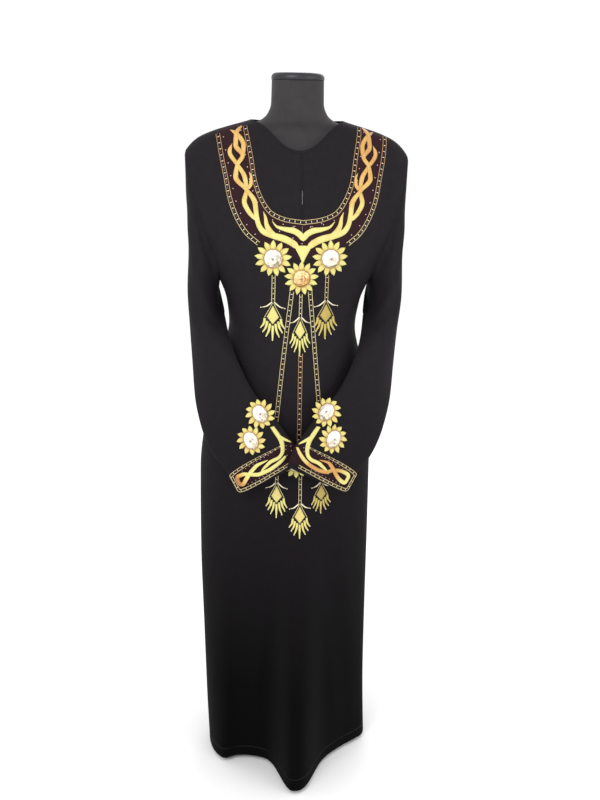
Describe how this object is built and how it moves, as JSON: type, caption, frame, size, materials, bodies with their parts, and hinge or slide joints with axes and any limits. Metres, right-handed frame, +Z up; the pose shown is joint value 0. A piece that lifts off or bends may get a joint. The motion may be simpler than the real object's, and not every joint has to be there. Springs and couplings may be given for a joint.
{
  "type": "embroidered kaftan on a dress form",
  "caption": "Floor-length dark kaftan with long tapered sleeves, gold vine embroidery, stone-set flowers and chain trims, worn by a limbless dress form on a round stand.",
  "frame": {"origin": "centre of the underside of the form's round base", "axes": "+Z up, -Y towards the front of the kaftan, +X to the right as seen from the front"},
  "size_m": [0.45, 0.4225, 1.5043],
  "materials": {
    "black_crepe": "matt crepe",
    "form_jersey": "matt jersey cover",
    "stand_metal": "satin black",
    "gold_thread": "padded satin stitch",
    "chain_thread": "corded chain stitch",
    "clear_stone": "faceted, foil backed",
    "amber_stone": "faceted, foil backed"
  },
  "bodies": {
    "root": {"back": "black_crepe", "base": "stand_metal", "chain_front_left": "chain_thread", "chain_front_middle": "chain_thread", "chain_front_right": "chain_thread", "chain_inner": "chain_thread", "chain_outer_left": "chain_thread", "chain_outer_right": "chain_thread", "crescent": "gold_thread", "cuff_chain_left": "chain_thread", "cuff_chain_right": "chain_thread", "cuff_leaf_left": "gold_thread", "cuff_leaf_right": "gold_thread", "cuff_stalk_left": "gold_thread", "cuff_stalk_right": "gold_thread", "cuff_vine_left": "gold_thread", "cuff_vine_right": "gold_thread", "drop_chest_left": "gold_thread", "drop_chest_middle": "gold_thread", "drop_chest_right": "gold_thread", "drop_lower_left": "gold_thread", "drop_lower_middle": "gold_thread", "drop_lower_right": "gold_thread", "flower_chest_left": "gold_thread", "flower_chest_middle": "gold_thread", "flower_chest_right": "gold_thread", "flower_cuff_left_lower": "gold_thread", "flower_cuff_left_upper": "gold_thread", "flower_cuff_right_lower": "gold_thread", "flower_cuff_right_upper": "gold_thread", "flower_lower_middle": "gold_thread", "form_torso": "form_jersey", "front": "black_crepe", "funnel": "gold_thread", "leaf_lower_left": "gold_thread", "leaf_lower_right": "gold_thread", "leaf_upper_left": "gold_thread", "leaf_upper_right": "gold_thread", "neck_binding": "black_crepe", "neck_cap": "stand_metal", "pole": "stand_metal", "sleeve_left": "black_crepe", "sleeve_right": "black_crepe", "stone_chest_left": "clear_stone", "stone_chest_middle": "amber_stone", "stone_chest_right": "clear_stone", "stone_cuff_left_lower": "clear_stone", "stone_cuff_left_upper": "clear_stone", "stone_cuff_right_lower": "clear_stone", "stone_cuff_right_upper": "clear_stone", "stone_lower_middle": "clear_stone", "vine_inner_left": "gold_thread", "vine_inner_right": "gold_thread", "vine_outer_left": "gold_thread", "vine_outer_right": "gold_thread", "vine_shoulder_left": "gold_thread", "vine_shoulder_right": "gold_thread"}
  },
  "joints": []
}
